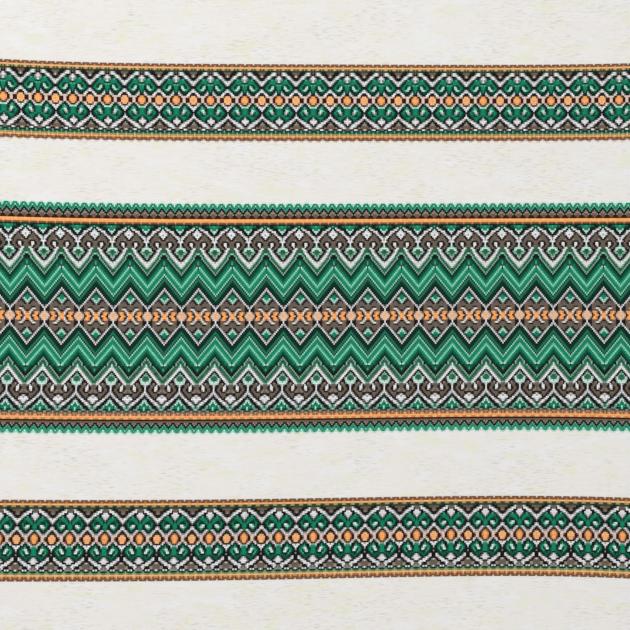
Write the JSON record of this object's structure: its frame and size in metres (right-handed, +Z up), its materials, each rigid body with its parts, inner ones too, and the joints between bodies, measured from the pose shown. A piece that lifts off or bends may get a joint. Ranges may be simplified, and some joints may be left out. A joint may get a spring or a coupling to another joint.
{
  "type": "embroidered linen tablecloth",
  "caption": "Flat cut length of white linen tablecloth, crossed by one wide and two narrow ornamented bands in green, brown, orange and white, lying on its underside.",
  "frame": {"origin": "middle of the underside, which is the bottom centre of the bounding box", "axes": "+Z up out of the right side of the cloth, +X along the weft and the bands, +Y along the warp towards the top of the picture"},
  "size_m": [0.6, 0.6, 0.0022],
  "materials": {
    "linen": "matt off-white plain-woven linen with fine slubs",
    "pattern_weft": "soft low-sheen pattern yarn in green, mint, brown, orange, white and black"
  },
  "bodies": {
    "root": {"tablecloth": "linen"}
  },
  "joints": []
}
